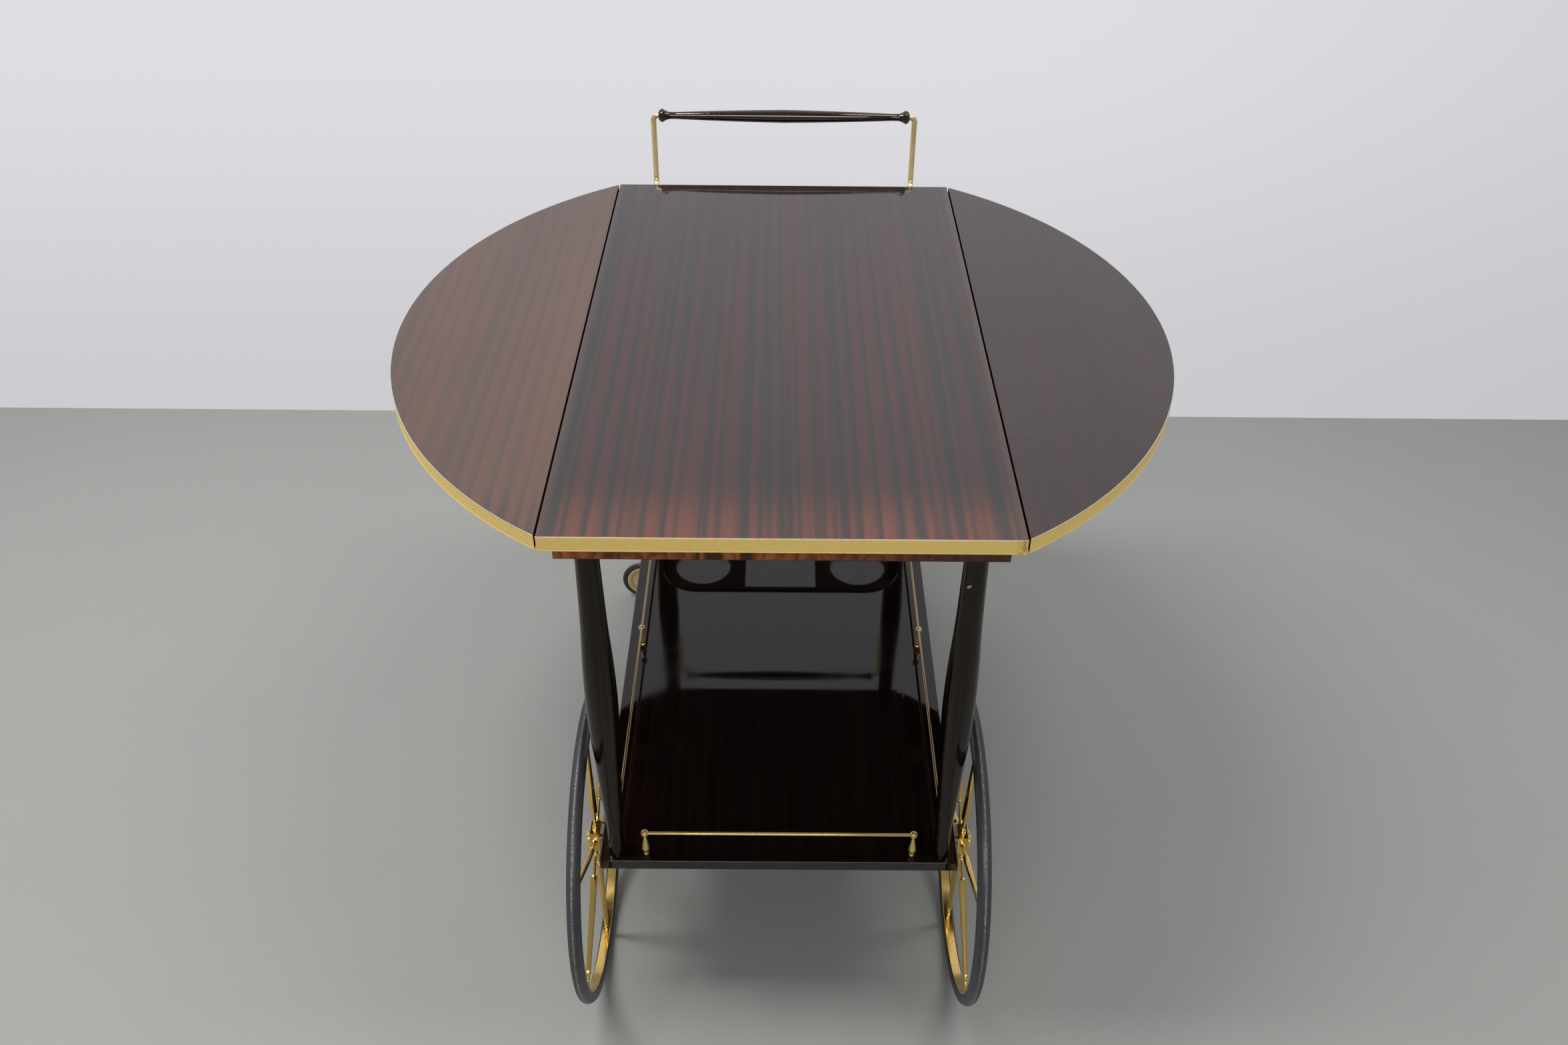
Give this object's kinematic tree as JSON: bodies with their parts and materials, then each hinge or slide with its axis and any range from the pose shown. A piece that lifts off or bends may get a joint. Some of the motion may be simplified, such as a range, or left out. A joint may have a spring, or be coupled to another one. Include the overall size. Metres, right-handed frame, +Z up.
{
  "type": "drop leaf tea trolley",
  "caption": "Wheeled serving table with a round-ended folding top, turned legs, gallery-railed lower shelf with bottle board, spoked wheels, swivel casters and push handle.",
  "frame": {"origin": "on the floor under the middle of the overall bounding box", "axes": "+Z up; X across the trolley, with a leaf hinged on each side; the large wheels are at -Y and the push handle at +Y"},
  "size_m": [0.835, 0.974, 0.741],
  "materials": {
    "top_wood": "satin lacquered striped hardwood",
    "edge_brass": "knurled brass edge band",
    "red_wood": "stained reddish-brown wood",
    "dark_wood": "glossy black-brown lacquered turned wood",
    "shelf_gloss": "mirror-gloss black-brown lacquer",
    "brass": "polished brass",
    "steel": "plain steel",
    "tyre_rubber": "dusty solid rubber"
  },
  "bodies": {
    "frame": {"centre_top": "top_wood", "centre_band_near": "edge_brass", "centre_band_far": "edge_brass", "underboard": "red_wood", "leg_near_left": "dark_wood", "leg_near_right": "dark_wood", "leg_far_left": "dark_wood", "leg_far_right": "dark_wood", "foot_left": "dark_wood", "foot_right": "dark_wood", "handle_grip": "dark_wood", "bottle_holder_left": "dark_wood", "bottle_holder_right": "dark_wood", "bottle_holder_bars": "dark_wood", "lower_shelf": "shelf_gloss", "hinge_left_fixed": "brass", "hinge_right_fixed": "brass", "hinge_pins": "brass", "stay_brackets": "brass", "stay_pins": "brass", "gallery_posts": "brass", "gallery_rail_left": "brass", "gallery_rail_right": "brass", "gallery_rail_near": "brass", "holder_dowels": "brass", "holder_studs": "brass", "handle_rod_left": "brass", "handle_rod_right": "brass", "axle_caps": "brass", "caster_ferrule_left": "brass", "caster_ferrule_right": "brass", "axle": "steel", "axle_brackets": "steel"},
    "leaf_left": {"leaf_left": "top_wood", "leaf_left_band": "edge_brass", "hinge_left_leaf": "brass", "hinge_left_screws": "brass"},
    "stay_left": {"stay_arm_left": "brass"},
    "wheel_left": {"wheel_hub_left": "brass", "wheel_spokes_left": "brass", "wheel_rim_left": "brass", "wheel_tyre_left": "tyre_rubber"},
    "caster_left": {"caster_fork_left": "brass", "caster_pin_left": "steel"},
    "caster_wheel_left": {"caster_disc_left": "brass", "caster_tyre_left": "tyre_rubber"},
    "leaf_right": {"leaf_right": "top_wood", "leaf_right_band": "edge_brass", "hinge_right_leaf": "brass", "hinge_right_screws": "brass"},
    "stay_right": {"stay_arm_right": "brass"},
    "wheel_right": {"wheel_hub_right": "brass", "wheel_spokes_right": "brass", "wheel_rim_right": "brass", "wheel_tyre_right": "tyre_rubber"},
    "caster_right": {"caster_fork_right": "brass", "caster_pin_right": "steel"},
    "caster_wheel_right": {"caster_disc_right": "brass", "caster_tyre_right": "tyre_rubber"}
  },
  "joints": [
    {"name": "leaf_left_fold", "type": "hinge", "parent": "frame", "child": "leaf_left", "pos_m": [-0.21625, -0.01, 0.661], "axis": [0, -1, 0], "range_deg": [0, 90]},
    {"name": "stay_left_fold", "type": "hinge", "parent": "frame", "child": "stay_left", "pos_m": [-0.2, -0.01, 0.64], "axis": [0, -1, 0], "range_deg": [0, 101.69]},
    {"name": "leaf_right_fold", "type": "hinge", "parent": "frame", "child": "leaf_right", "pos_m": [0.21625, -0.01, 0.661], "axis": [0, 1, 0], "range_deg": [0, 90]},
    {"name": "stay_right_fold", "type": "hinge", "parent": "frame", "child": "stay_right", "pos_m": [0.2, -0.01, 0.64], "axis": [0, 1, 0], "range_deg": [0, 101.69]},
    {"name": "wheel_left_spin", "type": "hinge", "parent": "frame", "child": "wheel_left", "pos_m": [-0.209, -0.307, 0.18], "axis": [1, 0, 0], "continuous": true},
    {"name": "wheel_right_spin", "type": "hinge", "parent": "frame", "child": "wheel_right", "pos_m": [0.209, -0.307, 0.18], "axis": [1, 0, 0], "continuous": true},
    {"name": "caster_left_swivel", "type": "hinge", "parent": "frame", "child": "caster_left", "pos_m": [-0.183, 0.328, 0.09], "axis": [0, 0, 1], "continuous": true},
    {"name": "caster_left_roll", "type": "hinge", "parent": "caster_left", "child": "caster_wheel_left", "pos_m": [-0.216, 0.328, 0.034], "axis": [0, 1, 0], "continuous": true},
    {"name": "caster_right_swivel", "type": "hinge", "parent": "frame", "child": "caster_right", "pos_m": [0.183, 0.328, 0.09], "axis": [0, 0, 1], "continuous": true},
    {"name": "caster_right_roll", "type": "hinge", "parent": "caster_right", "child": "caster_wheel_right", "pos_m": [0.15, 0.328, 0.034], "axis": [0, 1, 0], "continuous": true}
  ],
  "couplings": [
    {"joint": "stay_left_fold", "follows": "leaf_left_fold", "ratio": 1.1297},
    {"joint": "stay_right_fold", "follows": "leaf_right_fold", "ratio": 1.1297}
  ]
}
